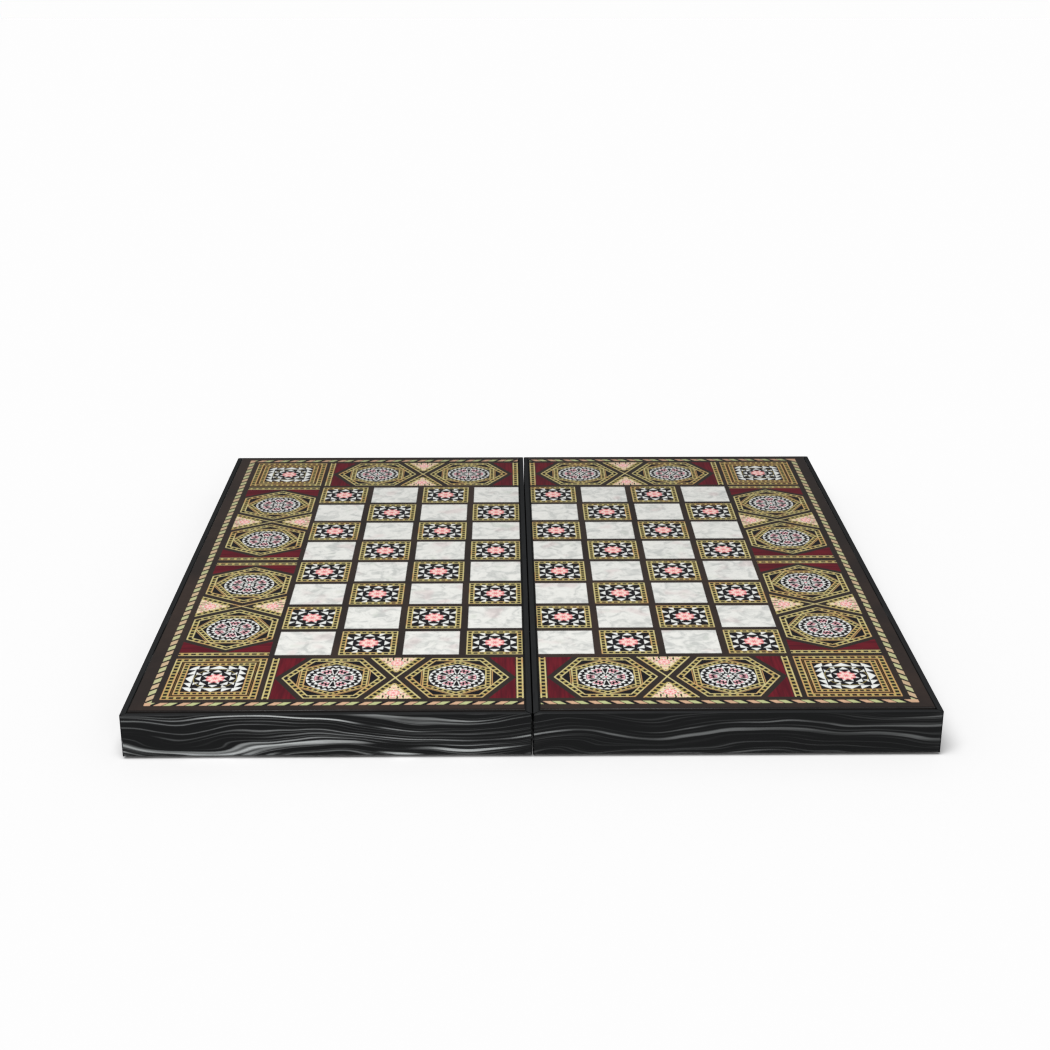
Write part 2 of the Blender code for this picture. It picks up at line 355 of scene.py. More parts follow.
def star_motif(paint, colour, x, y, size, settings, turn=math.pi / 8):
    """A rosy star of eight points, pale at its core and bone-white at its tips. size is its radius."""
    along, across = paint.wedge(x, y, 8, turn)
    colour = paint.mix(paint.star(along, across, 8, size, size * 0.58), colour, settings.white[:])
    rosy = paint.every(paint.star(along, across, 8, size, size * 0.58), along < size * 0.72)
    colour = paint.mix(rosy, colour, settings.pink[:])
    core = paint.star(along, across, 8, size * 0.72, size * 0.4)
    colour = paint.mix(core, colour, settings.blush[:])
    return paint.mix(paint.every(along < size * 0.3, across < size * 0.035), colour, settings.pink[:])


def bone_ring(paint, colour, x, y, size, settings):
    """The bone triangles round a star, for a star motif whose cell is 29 mm wide when size is 1: one
    beyond each side's middle, and a group of three in each corner."""
    along, across = paint.wedge(x, y, 4)
    flat, tall = abs(x), abs(y)
    reach, run = flat.math("MAXIMUM", tall), flat.math("MINIMUM", tall)
    outer = [(10.5, -1.0), (15.5, -1.0), (10.5, 3.4)]
    wing = [(10.6, 6.4), (14.7, 6.4), (14.7, 10.4)]
    whites = paint.either(
        paint.within(along, across, *[(size * a, size * b) for a, b in outer]),
        paint.within(reach, run, *[(size * a, size * b) for a, b in wing]),
        paint.every(reach < size * 10.1, reach + run > size * 15.0),
    )
    return paint.mix(whites, colour, settings.white[:])


def ground_finish(settings):
    paint = lacquer("inlay_ground")
    grain = paint.noise(paint.place(), 220.0, 3.0)
    cloud = paint.ramp(paint.noise(paint.place(), 18.0, 2.0), 0.35, 0.7)
    colour = paint.mix(cloud, settings.ground[:], srgb(64, 52, 46))
    paint.colour(paint.mix(grain * 0.4, colour, settings.black[:]))
    return paint.material


def star_finish(settings):
    """The dark chess cells: a dotted frame round a rosy star and its bone triangles."""
    paint = lacquer("inlay_star")
    x, y, _ = paint.motif()
    flat, tall = abs(x), abs(y)
    reach = flat.math("MAXIMUM", tall)
    run = flat.math("MINIMUM", tall)
    light = straw(paint, settings)
    colour = bone_ring(paint, settings.black[:], x, y, 1.0, settings)
    colour = star_motif(paint, colour, x, y, 9.2, settings)
    colour = dotted(paint, colour, light, run, reach, 14.7, 18.6, 4.16, settings)
    paint.colour(colour)
    return paint.material


def pearl_finish(settings):
    """The light chess cells: shell-like marble with grey, green and rosy clouds."""
    paint = lacquer("inlay_pearl")
    x, y, number = paint.motif()
    spot = paint.join(x * 0.1 + number * 3.7, y * 0.1 - number * 1.9, number)
    cloud = paint.ramp(paint.noise(spot, 0.9, 5.0, 0.6, 1.2), 0.42, 0.68)
    vein = paint.ramp(abs(paint.noise(spot, 0.7, 4.0, 0.55, 1.6) - 0.5), 0.035, 0.0)
    blush = paint.ramp(paint.noise(spot, 0.55, 1.0), 0.58, 0.74)
    green = paint.ramp(paint.noise(spot, 0.75, 1.5), 0.6, 0.78)
    colour = paint.mix(cloud * 0.75, settings.pearl[:], srgb(192, 195, 192))
    colour = paint.mix(vein * 0.15, colour, srgb(172, 174, 174))
    colour = paint.mix(blush * 0.35, colour, srgb(222, 196, 196))
    colour = paint.mix(green * 0.3, colour, srgb(200, 212, 196))
    reach = abs(x).math("MAXIMUM", abs(y))
    colour = paint.mix(reach > 18.25, colour, settings.ground[:])
    paint.colour(colour)
    return paint.material


def corner_finish(settings):
    """The corner squares: two dotted frames, a sawtooth of bone triangles and a star in a circle."""
    paint = lacquer("inlay_corner")
    x, y, _ = paint.motif()
    flat, tall = abs(x), abs(y)
    reach = flat.math("MAXIMUM", tall)
    run = flat.math("MINIMUM", tall)
    light = straw(paint, settings, 1.0)
    tooth = paint.math("FRACT", run / 6.3)
    depth = (reach - 13.9) / 4.9
    teeth = paint.every(tooth + depth < 1.0, paint.between(reach, 13.9, 18.8))
    colour = paint.mix(teeth, settings.black[:], settings.white[:])
    colour = bone_ring(paint, colour, x, y, 0.88, settings)
    radius = (x * x + y * y).math("SQRT")
    colour = paint.mix(paint.between(radius, 13.35, 13.7), colour, settings.olive[:])
    colour = star_motif(paint, colour, x, y, 8.4, settings)
    colour = dotted(paint, colour, light, run + 1.915, reach, 19.0, 23.1, 3.83, settings)
    colour = paint.mix(paint.between(reach, 23.85, 24.2), colour, srgb(124, 92, 44))
    colour = dotted(paint, colour, light, run, reach, 25.0, 29.7, 4.558, settings)
    paint.colour(colour)
    return paint.material


def toothed_ring(paint, colour, radius, angle, low, high, count, turn, outward, top):
    """A ring of count triangles between two radii, their points outward or inward."""
    share = (radius - low) / (high - low)
    width = 1 - share if outward else share
    place = (angle * (count / math.tau) + turn).math("PINGPONG", 0.5) * 2
    mask = paint.every(place < width, paint.between(radius, low, high))
    return paint.mix(mask, colour, top)


def medallion(paint, x, y, settings):
    """The disc inside a hexagon: rings of bone and rosy triangles, six dark wedges, a small rosette."""
    black, white = settings.black[:], settings.white[:]
    radius = (x * x + y * y).math("SQRT")
    angle = paint.math("ARCTAN2", y, x)
    sixth = angle.math("PINGPONG", math.pi / 6)  # 0 on the six rosy axes
    rosy = paint.mix(paint.ramp(sixth, 0.27, 0.33), srgb(248, 184, 192), white)
    colour = toothed_ring(paint, black, radius, angle, 15.4, 17.6, 24, 0.0, False, white)
    colour = toothed_ring(paint, colour, radius, angle, 12.6, 14.8, 24, 0.5, True, white)
    colour = toothed_ring(paint, colour, radius, angle, 9.9, 12.2, 24, 0.0, False, rosy)
    colour = toothed_ring(paint, colour, radius, angle, 7.2, 9.6, 24, 0.5, True, rosy)
    colour = toothed_ring(paint, colour, radius, angle, 4.8, 7.0, 12, 0.0, False, white)
    along, across = paint.wedge(x, y, 6, math.pi / 6)
    wedge = [(5.2, -1.0), (12.2, -1.0), (12.2, 1.9), (5.2, 0.4)]
    edging = [(4.6, -1.0), (12.6, -1.0), (12.6, 2.5), (4.6, 0.9)]
    colour = paint.mix(paint.within(along, across, *edging), colour, white)
    colour = paint.mix(paint.within(along, across, *wedge), colour, black)
    petal = paint.wedge(x, y, 6)
    colour = paint.mix(paint.within(*petal, (0.9, -1.0), (4.4, -1.0), (3.1, 1.3), (0.9, 0.1)), colour, white)
    return paint.mix(radius < 1.0, colour, srgb(240, 160, 170))


def panel_finish(settings):
    """The long panels: two framed hexagons with medallions, crossed bars between them with a small
    star triangle in each fork, burgundy veneer outside them and a dotted strip at both ends."""
    paint = lacquer("inlay_panel")
    x, y, _ = paint.motif()
    light = straw(paint, settings)
    black, ground = settings.black[:], settings.ground[:]
    out = abs(x)
    tall = abs(y)
    hex_x = out - HEX_PLACE
    frame_width = 4.2  # of a hexagon's dotted frame
    disc_reach = 17.9  # from a medallion's middle to its inner frame
    inner_reach = 21.7  # from a medallion's middle to the outside of its inner frame
    fork_width = 17.6
    fork_depth = 29.5
    # burgundy, with streaks across the panel's length
    streak = paint.noise(paint.join(x * 0.5, y * 0.03, 0.0), 1.0, 3.0)
    wine = paint.mix(paint.ramp(streak, 0.35, 0.7), srgb(84, 20, 32), settings.burgundy[:])
    slant = abs(hex_x) * math.sin(math.pi / 3) + tall * 0.5
    outer = slant.math("MAXIMUM", tall)
    turned = (tall * math.sin(math.pi / 3) + abs(hex_x) * 0.5).math("MAXIMUM", abs(hex_x))
    colour = paint.mix(paint.every(hex_x > 0, slant > HEX_REACH + 3.8, out < 75.9), ground, wine)
    # the hexagon's dotted frame, and a thin brown line in the corners inside it
    _, across = paint.wedge(hex_x, y, 6, math.pi / 6)
    colour = dotted(paint, colour, light, across, outer, HEX_REACH - frame_width, HEX_REACH, 4.7, settings)
    inside = outer < HEX_REACH - frame_width
    colour = paint.mix(inside, colour, black)
    colour = paint.mix(paint.every(inside, paint.between(turned, 22.2, 22.7)), colour, settings.tan[:])
    # the inner hexagon, turned by a twelfth
    _, across = paint.wedge(hex_x, y, 6)
    inner_frame = dotted(paint, black, light, across, turned, disc_reach, inner_reach, 3.8, settings)
    colour = paint.mix(paint.every(turned < inner_reach, inside), colour, inner_frame)
    colour = paint.mix(turned < disc_reach, colour, medallion(paint, hex_x, y, settings))
    # the crossed lines, and the triangles in their forks
    reach = tall * 0.5 - out * math.sin(math.pi / 3)  # distance from the crossed lines
    near = paint.every(out < fork_width, tall < fork_depth)
    colour = paint.mix(paint.every(near, abs(reach) < 0.5), colour, light)
    run = tall * math.sin(math.pi / 3) + out * 0.5
    fork = paint.every(near, reach > 0.5, tall > 8.0)
    strip = dotted(paint, light, settings.olive[:], run, reach, -0.4, 4.2, 4.3, settings)
    bits = paint.noise(paint.join(out, tall, 0.0), 0.55, 0.0)
    field = paint.mix(paint.ramp(bits, 0.40, 0.34), srgb(240, 222, 180), black)
    field = paint.mix(paint.ramp(bits, 0.6, 0.66), field, srgb(236, 168, 172))
    field = star_motif(paint, field, out, tall - 21.6, 5.8, settings, 0.0)
    colour = paint.mix(fork, colour, paint.mix(reach > 4.1, strip, field))
    # the dotted strip at each end
    colour = dotted(paint, colour, light, tall, out, 76.5, 80.8, 4.94, settings)
    paint.colour(colour)
    return paint.material


def rope_finish(name, repeat, green_start, rosy_straw, green_straw, settings):
    """The rope border: slanting pink and green straw lozenges with dark gaps. A pink and a green one
    share each repeat, and the green one begins at green_start of it."""
    paint = lacquer(name)
    run, across, offset = paint.motif()
    place = paint.math("FRACT", (run + across) / repeat + offset)
    rosy = paint.between(place, 0.04, 0.39)
    greenish = paint.between(place, green_start, green_start + 0.35)
    grain = paint.noise(paint.place(), 500.0, 1.0) * 0.3
    colour = paint.mix(rosy, settings.black[:], paint.mix(grain, rosy_straw, settings.black[:]))
    colour = paint.mix(greenish, colour, paint.mix(grain, green_straw, settings.black[:]))
    paint.colour(colour)
    return paint.material


def point_finish(settings):
    """A backgammon point: a long dotted arrow, filled with pearl or burgundy by turns."""
    paint = lacquer("inlay_point")
    x, y, number = paint.motif()
    light = straw(paint, settings)
    black = settings.black[:]
    spread = 17.2 * (1 - y / 182.0) - abs(x)
    arrow = paint.every(spread > 0, y > 2.0)
    streak = paint.noise(paint.join(x * 0.4, y * 0.02, number), 1.0, 3.0)
    wine = paint.mix(streak, srgb(72, 18, 30), settings.burgundy[:])
    cloud = paint.noise(paint.join(x * 0.1 + number, y * 0.1, number), 0.9, 4.0)
    pale = paint.mix(paint.ramp(cloud, 0.4, 0.7), settings.pearl[:], srgb(186, 190, 188))
    fill = paint.mix(paint.math("MODULO", number, 2.0) > 0.5, wine, pale)
    colour = dotted(paint, fill, light, y, spread, 0.0, 3.6, 4.6, settings)
    ring_y = y - 20.0
    radius = (x * x + ring_y * ring_y).math("SQRT")
    colour = paint.mix(radius < 9.6, colour, settings.cream[:])
    colour = paint.mix(radius < 9.0, colour, black)
    colour = star_motif(paint, colour, x, ring_y, 8.2, settings)
    paint.colour(paint.mix(arrow, settings.ground[:], colour))
    return paint.material


def strip_finish(settings):
    """A plain dotted strip, its length along the first coordinate."""
    paint = lacquer("inlay_strip")
    run, across, _ = paint.motif()
    light = straw(paint, settings)
    paint.colour(dotted(paint, settings.ground[:], light, run, across, -2.2, 2.2, 4.9, settings))
    return paint.material


def foil_finish(name, along, settings):
    """Near-black wood-grain foil: pale wavy streaks that run along the rail, and a fine pore texture. Faces
    that look up are painted a lighter grey with no streaks: painted light from overhead.
    """
    paint = Paint(name, 0.4, Specular_IOR_Level=0.1)
    x, y, z = paint.split(paint.place())
    run, cross = (x, y + z) if along == "x" else (y, x + z)
    drift = paint.noise(paint.join(run * 10, cross * 26, 0.0), 1.0, 1.5)
    wave = cross * 300 + drift * 10.0
    broad = paint.noise(paint.join(run * 2.6, wave, 2.0), 1.0, 1.0)
    fine = paint.noise(paint.join(run * 5.0, wave * 2.6, 7.0), 1.0, 2.0)
    patch = paint.ramp(paint.noise(paint.join(run * 9, cross * 90, 4.0), 1.0, 1.0), 0.36, 0.62)
    side = paint.ramp(x, 0.03, -0.05) * 0.75 + 0.25
    streaks = paint.ramp(broad, 0.55, 0.64) * patch * side
    hairs = paint.ramp(fine, 0.52, 0.72) * 0.3 * side
    pores = paint.noise(paint.join(run * 60, cross * 1600, 0.0), 1.0, 2.0)
    colour = paint.mix(hairs, settings.foil[:], settings.streak[:])
    colour = paint.mix(streaks, colour, settings.streak[:])
    _, _, up = paint.split(paint.node("ShaderNodeTexCoord").outputs["Normal"])
    # Painted light: faces that look up take the lighter lip grey, as if lit from overhead, and lose the
    # streaks.
    colour = paint.mix(paint.ramp(up, 0.5, 0.8), colour, settings.lit_lip[:])
    colour = paint.mix(paint.ramp(pores, 0.45, 0.75) * 0.3, colour, srgb(10, 11, 12))
    paint.colour(colour)
    paint.bump(pores, 0.00006, 0.5)
    return paint.material


def board_finish():
    """The painted edge of a board: near-black, glossy, a little uneven."""
    paint = Paint("board_edge", 0.2, Specular_IOR_Level=0.4)
    wander = paint.noise(paint.place(), 90.0, 2.0)
    paint.colour(paint.mix(wander, srgb(30, 28, 28), srgb(44, 40, 38)))
    paint.bump(wander, 0.00005, 0.4)
    return paint.material


def metal_finish(name, colour, roughness, along):
    """Brushed metal: fine lines along one axis vary its roughness and tilt its surface."""
    paint = Paint(name, roughness, Metallic=1.0)
    x, y, z = paint.split(paint.place())
    stretch = [4000 if axis != along else 120 for axis in "xyz"]
    lines = paint.noise(paint.join(x * stretch[0], y * stretch[1], z * stretch[2]), 1.0, 2.0)
    tarnish = paint.noise(paint.place(), 260.0, 3.0)
    darker = tuple(0.62 * part for part in colour)
    paint.colour(paint.mix(paint.ramp(tarnish, 0.35, 0.8), colour, darker))
    paint.feed(paint.shader.inputs["Roughness"], lines * 0.2 + (roughness - 0.1))
    paint.bump(lines, 0.00002, 0.4)
    return paint.material


# ---------------------------------------------------------------- mesh tools


def new_object(name, mesh, body, *nodes):
    obj = bpy.data.objects.new(name, mesh)
    bpy.context.scene.collection.objects.link(obj)
    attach(obj, body)
    if nodes:
        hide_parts(*nodes)
    return obj


def softened(node, name, body, material, width, wide=None):
    """A copy of a CAD node with its loose triangles merged and its edges rounded. wide(start, end) says by
    how many times the width an edge between two points is rounded."""
    bm = bmesh.new()
    bm.from_mesh(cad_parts[node].data)
    bmesh.ops.remove_doubles(bm, verts=bm.verts, dist=SAME_POINT)
    bmesh.ops.dissolve_limit(bm, angle_limit=math.radians(1), verts=bm.verts, edges=bm.edges)
    weight = bm.edges.layers.float.new("bevel_weight_edge")
    most = 1.0 if wide is None else WIDEST
    for edge in bm.edges:
        if edge.calc_face_angle(0) > SHARP:
            times = 1.0 if wide is None else wide(edge.verts[0].co, edge.verts[1].co)
            edge[weight] = times / most
    mesh = bpy.data.meshes.new(name)
    bm.to_mesh(mesh)
    bm.free()
    mesh.materials.clear()
    mesh.materials.append(material)
    obj = new_object(name, mesh, body, node)
    rounded = obj.modifiers.new("rounded", "BEVEL")
    rounded.width = width * most
    rounded.segments = 3
    rounded.limit_method = "WEIGHT"
    rounded.harden_normals = True
    mesh.shade_smooth()
    mesh.set_sharp_from_angle(angle=SHARP)
    return obj


def slab(name, low, high, edge, steps=4):
    """A board with a quarter-round edge: the profile (inset from the sides, height) is carried round
    the rectangle, each of its points giving one ring of four corners, and both ends are capped."""
    turn = np.linspace(0, np.pi / 2, steps + 1)
    inset = np.concatenate([[0.0], edge * (1 - np.cos(turn))])
    height = np.concatenate([[low[2]], high[2] - edge + edge * np.sin(turn)])
    corner = np.array([(0, 0), (1, 0), (1, 1), (0, 1)], float)
    base, size = np.array(low[:2], float), np.array(high[:2], float) - np.array(low[:2], float)
    flat = base + corner[None] * size + (1 - 2 * corner[None]) * inset[:, None, None]
    points = np.concatenate([flat, np.broadcast_to(height[:, None, None], (len(inset), 4, 1))], axis=2)
    ring = np.arange(len(inset) - 1)[:, None] * 4 + np.arange(4)[None]
    following = np.arange(len(inset) - 1)[:, None] * 4 + (np.arange(4)[None] + 1) % 4
    sides = np.stack([ring, following, following + 4, ring + 4], axis=-1).reshape(-1, 4)
    last = 4 * (len(inset) - 1)
    caps = [[3, 2, 1, 0], [last, last + 1, last + 2, last + 3]]
    mesh = bpy.data.meshes.new(name)
    mesh.from_pydata(points.reshape(-1, 3).tolist(), [], sides.tolist() + caps)
    mesh.shade_smooth()
    mesh.set_sharp_from_angle(angle=math.radians(50))
    return mesh


def turned(name, profile, centre, axis):
    """A solid of revolution: each (radius, height) of the profile gives a ring round the axis, and the
    first and last points lie on it."""
    profile = np.array(profile, float)
    angle = np.arange(ROUND_SIDES) * math.tau / ROUND_SIDES
    radius, height = profile[1:-1, 0:1], profile[1:-1, 1:2]
    rings = np.stack(
        [radius * np.cos(angle), radius * np.sin(angle), np.broadcast_to(height, (len(radius), ROUND_SIDES))],
        axis=-1,
    )
    ends = np.array([(0, 0, profile[0, 1]), (0, 0, profile[-1, 1])])
    points = np.concatenate([rings.reshape(-1, 3), ends])
    step = np.arange(ROUND_SIDES)
    after = (step + 1) % ROUND_SIDES
    rows = np.arange(len(radius) - 1)[:, None] * ROUND_SIDES
    quads = np.stack(
        [rows + step, rows + after, rows + after + ROUND_SIDES, rows + step + ROUND_SIDES], axis=-1
    )
    first, last = len(points) - 2, len(points) - 1
    top = (len(radius) - 1) * ROUND_SIDES
    foot_fan = np.stack([np.full_like(step, first), after, step], axis=-1)
    top_fan = np.stack([np.full_like(step, last), top + step, top + after], axis=-1)
    faces = quads.reshape(-1, 4).tolist() + foot_fan.tolist() + top_fan.tolist()
    if axis == "y":
        points = points[:, [0, 2, 1]] * (1, 1, -1)
    mesh = bpy.data.meshes.new(name)
    mesh.from_pydata((points + np.array(centre)).tolist(), [], faces)
    bm = bmesh.new()
    bm.from_mesh(mesh)
    bmesh.ops.recalc_face_normals(bm, faces=bm.faces)
    bm.to_mesh(mesh)
    bm.free()
    mesh.shade_smooth()
    mesh.set_sharp_from_angle(angle=math.radians(35))
    return mesh


# ---------------------------------------------------------------- the printed sheets


class Region:
    """A rectangle of the print with its own finish: where it lies in the row frame, its slot, and how
    its motif's coordinates follow from the place: rows of a matrix, from the motif's centre."""

    def __init__(self, slot, low, high, centre=None, across=(1, 0), up=(0, 1), number=0.0):
        self.slot, self.low, self.high = slot, low, high
        self.centre = centre or ((low[0] + high[0]) / 2, (low[1] + high[1]) / 2)
        self.rows = np.array([across, up], float)
        self.number = number


def printed_sheet(name, low, high, height, facing, regions, finishes):
    """A thin printed sheet: a grid of rectangles between all the regions' edges, each with its region's
    finish and its motif's coordinates at every corner. The baking map lays the sheet out in strips side by
    side, at one scale."""
    edges = [low, high] + [point for region in regions for point in (region.low, region.high)]
    rows = np.linspace(low[1], high[1], FOLDS + 1)
    xs = np.unique(np.round(np.clip([edge[0] for edge in edges], low[0], high[0]), 7))
    ys = np.unique(np.round(np.clip([edge[1] for edge in edges] + list(rows), low[1], high[1]), 7))
    grid_x, grid_y = np.meshgrid(xs, ys, indexing="ij")
    points = np.stack([grid_x, grid_y, np.full_like(grid_x, height)], axis=-1).reshape(-1, 3)
    column, row = np.meshgrid(np.arange(len(xs) - 1), np.arange(len(ys) - 1), indexing="ij")
    start = (column * len(ys) + row).reshape(-1)
    faces = np.stack([start, start + len(ys), start + len(ys) + 1, start + 1], axis=-1)
    if facing < 0:
        faces = faces[:, ::-1]
    corners = points[faces][:, :, :2]
    middle = corners.mean(axis=1)
    slots = np.zeros(len(faces), np.int32)
    motif = np.zeros((len(faces), 4, 3), np.float32)
    names = list(finishes)
    for region in regions:
        inside = ((middle > region.low) & (middle < region.high)).all(axis=1)
        slots[inside] = names.index(region.slot)
        local = (corners[inside] - np.array(region.centre)) @ region.rows.T / MM
        motif[inside, :, :2] = local
        motif[inside, :, 2] = region.number
    mesh = bpy.data.meshes.new(name)
    mesh.from_pydata(points.tolist(), [], faces.tolist())
    for finish in finishes.values():
        mesh.materials.append(finish)
    mesh.polygons.foreach_set("material_index", slots)
    attribute = mesh.attributes.new(MOTIF, "FLOAT_VECTOR", "CORNER")
    attribute.data.foreach_set("vector", motif.reshape(-1))
    fold = np.clip(np.searchsorted(rows, middle[:, 1]) - 1, 0, FOLDS - 1)
    width, tall = high[0] - low[0], rows[1] - rows[0]
    gap = 1.5 * MM
    across = corners[:, :, 0] - low[0] + fold[:, None] * (width + gap) + gap / 2
    along = corners[:, :, 1] - rows[fold][:, None] + gap / 2
    scale = max(FOLDS * (width + gap), tall + gap)
    bake = mesh.uv_layers.new(name="OFBake")
    bake.data.foreach_set("uv", (np.stack([across, along], axis=-1) / scale).astype(np.float32).reshape(-1))
    return mesh


def chess_regions(sign, settings):
    """The regions of one half of the chess side, outward from the seam."""
    cell, pitch, band, rope = settings.cell, settings.pitch, settings.band, settings.rope
    field_start = 4.8 * MM
    side_start = 170.2 * MM
    band_end = 228.2 * MM
    rope_x, rope_y = 233.4 * MM, 232.6 * MM
    front_panel = (5.0 * MM, 167.0 * MM)  # from the seam to a long panel's ends
    side_panel = (2.8 * MM, 164.8 * MM)  # from the middle line to a side panel's ends
    rope_start = 4.6 * MM
    found = []

    def add(slot, near, far, low, high, **more):
        left, right = sorted((sign * near, sign * far))
        found.append(Region(slot, (left, low), (right, high), **more))

    start_y = -4 * pitch + (pitch - cell) / 2
    for column in range(4):
        for row in range(8):
            near = field_start + column * pitch
            low = start_y + row * pitch
            rank = column if sign > 0 else column + 1
            slot = "star" if (rank + row) % 2 else "pearl"
            number = column + 10.0 * row + (100 if sign > 0 else 0)
            add(slot, near, near + cell, low, low + cell, number=number)
    for end in (1, -1):
        low, high = sorted((end * (band_end - band), end * band_end))
        add("panel", *front_panel, low, high)
        add("corner", side_start, side_start + band, low, high)
        low, high = sorted(end * reach for reach in side_panel)
        add("panel", side_start, side_start + band, low, high, across=(0, 1), up=(1, 0))
        low, high = sorted((end * rope_y, end * (rope_y + rope)))
        add("rope", rope_start, rope_x, low, high, across=(1, 0), up=(0, sign))
        add("rope", rope_x, rope_x + rope, low, high, across=(0, 0), up=(0, 0), number=ROSY)
    add("side_rope", rope_x, rope_x + rope, -rope_y, rope_y, across=(0, 1), up=(sign, 0))
    return found


def playfield_regions(low, high):
    """The regions of one playing tray's floor: six points from the front and six from the rear, and a
    medallion panel between them."""
    found = []
    wall = 3.2 * MM  # hidden by the rails' ledge
    points_a_row = 6
    width = (high[0] - low[0] - 2 * wall) / points_a_row
    length = 188 * MM
    panel_half_width = 81.0 * MM
    panel_half_depth = 29.7 * MM
    strip_start = 35 * MM
    strip_end = 39.4 * MM
    strip_half_width = 105 * MM
    for end in (1, -1):
        base = high[1] - wall if end > 0 else low[1] + wall
        for index in range(points_a_row):
            left = low[0] + wall + index * width
            spot = (left + width / 2, base)
            bottom, top = sorted((base, base - end * length))
            number = index + (1 if end > 0 else 0)
            region = Region("point", (left, bottom), (left + width, top), spot, (1, 0), (0, -end), number)
            found.append(region)
    centre = (low[0] + high[0]) / 2
    near_corner = (centre - panel_half_width, -panel_half_depth)
    far_corner = (centre + panel_half_width, panel_half_depth)
    found.append(Region("panel", near_corner, far_corner))
    for end in (1, -1):
        bottom, top = sorted((end * strip_start, end * strip_end))
        left, right = centre - strip_half_width, centre + strip_half_width
        found.append(Region("strip", (left, bottom), (right, top)))
    return found


# ---------------------------------------------------------------- operators


class CASE_OT_rails(bpy.types.Operator):
    """Rounds the edges of the eight rails and wraps them in streaked foil"""

    bl_idname = "case.rails"
    bl_label = "Rails"

    def execute(self, context):
        settings = context.scene.case_frame
        foils = {axis: foil_finish(f"foil_along_{axis}", axis, settings) for axis in "xy"}
        for side in SIDES:
            for rail in RAILS:
                foil = foils["x" if rail in ("front_rail", "rear_rail") else "y"]
                node = f"{side}_{rail}"
                wide = self.under(node, rail)
                obj = softened(node, f"{node}_foil", f"{side}_tray", foil, settings.edge, wide)
        return {"FINISHED"}

    def under(self, node, rail):
        """Tells how wide each edge of a rail is rounded: its outer lower edge more than the others."""
        low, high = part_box(node)
        axis, level = {
            "front_rail": (1, low.y),
            "rear_rail": (1, high.y),
            "end_rail": (0, high.x if high.x > 0.1 else low.x),
            "hinge_rail": (0, math.inf),
        }[rail]

        def wide(start, end):
            points = (start, end)
            at_rim = all(abs(point.z - low.z) < SAME_LEVEL for point in points)
            outside = all(abs(point[axis] - level) < SAME_LEVEL for point in points)
            return WIDEST if at_rim and outside else 1.0

        return wide


def print_finishes(settings):
    """The finishes of the printed sheets by slot. The first one fills what no region covers."""
    return {
        "ground": ground_finish(settings),
        "star": star_finish(settings),
        "pearl": pearl_finish(settings),
        "corner": corner_finish(settings),
        "panel": panel_finish(settings),
        "rope": rope_finish("inlay_rope", 13.9, 0.45, srgb(226, 184, 150), srgb(204, 210, 152), settings),
        "side_rope": rope_finish(
            "inlay_side_rope", 16.4, 0.54, srgb(220, 192, 156), srgb(206, 206, 156), settings
        ),
        "point": point_finish(settings),
        "strip": strip_finish(settings),
    }


class CASE_OT_boards(bpy.types.Operator):
    """Builds the chess panels and the playfield panels with their printed sheets"""

    bl_idname = "case.boards"
    bl_label = "Boards"

    edge: size_property("Edge", "Rounding of a board's edge", 0.6 * MM)
    film: size_property("Film", "Thickness of the printed sheet", 0.12 * MM)

    def execute(self, context):
        settings = context.scene.case_print
        finishes = print_finishes(settings)
        core = board_finish()
        for side, sign in SIDES.items():
            low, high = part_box(f"{side}_chess_panel")
            regions = chess_regions(sign, settings)
            strips = np.linspace(low.x + self.edge, high.x - self.edge, CHESS_SHEETS + 1)
            self.board(side, "chess", "chess_print", low, high, 1, regions, finishes, core, strips)
            low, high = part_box(f"{side}_playfield_panel")
            regions = playfield_regions(low, high)
            strips = np.linspace(low.x + self.edge, high.x - self.edge, PLAYFIELD_SHEETS + 1)
            self.board(side, "playfield", "playfield_print", low, high, -1, regions, finishes, core, strips)
        return {"FINISHED"}

    def board(self, side, kind, slot, low, high, facing, regions, finishes, core, strips):
        """A board with its rounded edge towards the side it faces, and its sheets laid on side by side.
        Solidify gives each sheet its thickness, away from the side it faces."""
        body, node = f"{side}_tray", f"{side}_{kind}_panel"
        low, high = np.array(low), np.array(high)
        top = high.copy()
        top[2] -= self.film
        mesh = slab(f"{node}_board", low, top, self.edge)
        if facing < 0:
            mesh.transform(Matrix.Translation((0, 0, low[2] + high[2])) @ Matrix.Diagonal((1, 1, -1, 1)))
            mesh.flip_normals()
        mesh.materials.append(core)
        board = new_object(f"{node}_board", mesh, body, node)
        face = high[2] if facing > 0 else low[2]
        for number, (left, right) in enumerate(zip(strips, strips[1:]), start=1):
            name = f"{side}_{kind}_print_{number}"
            corner_low, corner_high = (left, low[1] + self.edge), (right, high[1] - self.edge)
            mesh = printed_sheet(name, corner_low, corner_high, face, facing, regions, finishes)
            sheet = new_object(name, mesh, body)
            thick = sheet.modifiers.new("thick", "SOLIDIFY")
            thick.thickness = self.film
            thick.offset = -1


